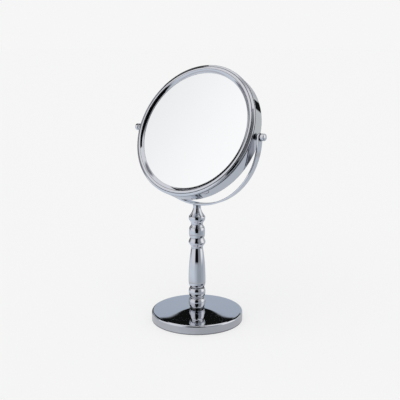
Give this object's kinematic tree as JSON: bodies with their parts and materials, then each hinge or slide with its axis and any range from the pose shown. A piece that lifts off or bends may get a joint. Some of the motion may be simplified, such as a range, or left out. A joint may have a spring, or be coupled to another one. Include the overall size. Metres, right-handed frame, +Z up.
{
  "type": "magnifying table mirror",
  "caption": "Round table mirror, plain on one side and magnifying on the other, tilting in a strap yoke on a turned column with a weighted round base.",
  "frame": {"origin": "centre of the underside of the base", "axes": "+Z up along the column, X along the pivot axis of the head, and the plain glass faces -Y, leaning back by 26 degrees at rest"},
  "size_m": [0.2352, 0.14, 0.3856],
  "materials": {
    "chrome": "bright polished chrome plate on steel and zinc",
    "mirror_glass": "clear float glass silvered on its back",
    "zinc_steel": "zinc plated steel",
    "iron": "rough black painted casting",
    "base_foam": "matt black foam sheet",
    "inner_foam": "grey foam",
    "hardboard": "brown pressed board",
    "liner_plastic": "white moulded plastic",
    "nylon": "black nylon"
  },
  "bodies": {
    "stand": {"base_cover": "chrome", "base_weight": "iron", "base_pad": "base_foam", "base_washer": "zinc_steel", "base_nut": "zinc_steel", "tie_rod": "zinc_steel", "column_foot": "chrome", "column_vase": "chrome", "column_knop": "chrome", "column_neck": "chrome", "yoke": "chrome", "yoke_screw": "zinc_steel"},
    "head": {"drum": "chrome", "front_bezel": "chrome", "rear_bezel": "chrome", "plain_glass": "mirror_glass", "magnifying_glass": "mirror_glass", "foam_pad": "inner_foam", "backing_board": "hardboard", "shaped_pad": "inner_foam", "liner_ring": "liner_plastic", "left_stud": "zinc_steel", "right_stud": "zinc_steel", "left_spacer": "chrome", "right_spacer": "chrome", "left_inner_washer": "nylon", "right_inner_washer": "nylon", "left_outer_washer": "nylon", "right_outer_washer": "nylon"},
    "left_knob": {"left_knob": "chrome"},
    "right_knob": {"right_knob": "chrome"}
  },
  "joints": [
    {"name": "head_tilt", "type": "hinge", "parent": "stand", "child": "head", "pos_m": [0, 0, 0.2901], "axis": [1, 0, 0], "continuous": true},
    {"name": "left_knob_turn", "type": "hinge", "parent": "head", "child": "left_knob", "pos_m": [-0.115, 0, 0.2901], "axis": [-1, 0, 0], "range_deg": [0, 360]},
    {"name": "right_knob_turn", "type": "hinge", "parent": "head", "child": "right_knob", "pos_m": [0.115, 0, 0.2901], "axis": [1, 0, 0], "range_deg": [0, 360]}
  ]
}
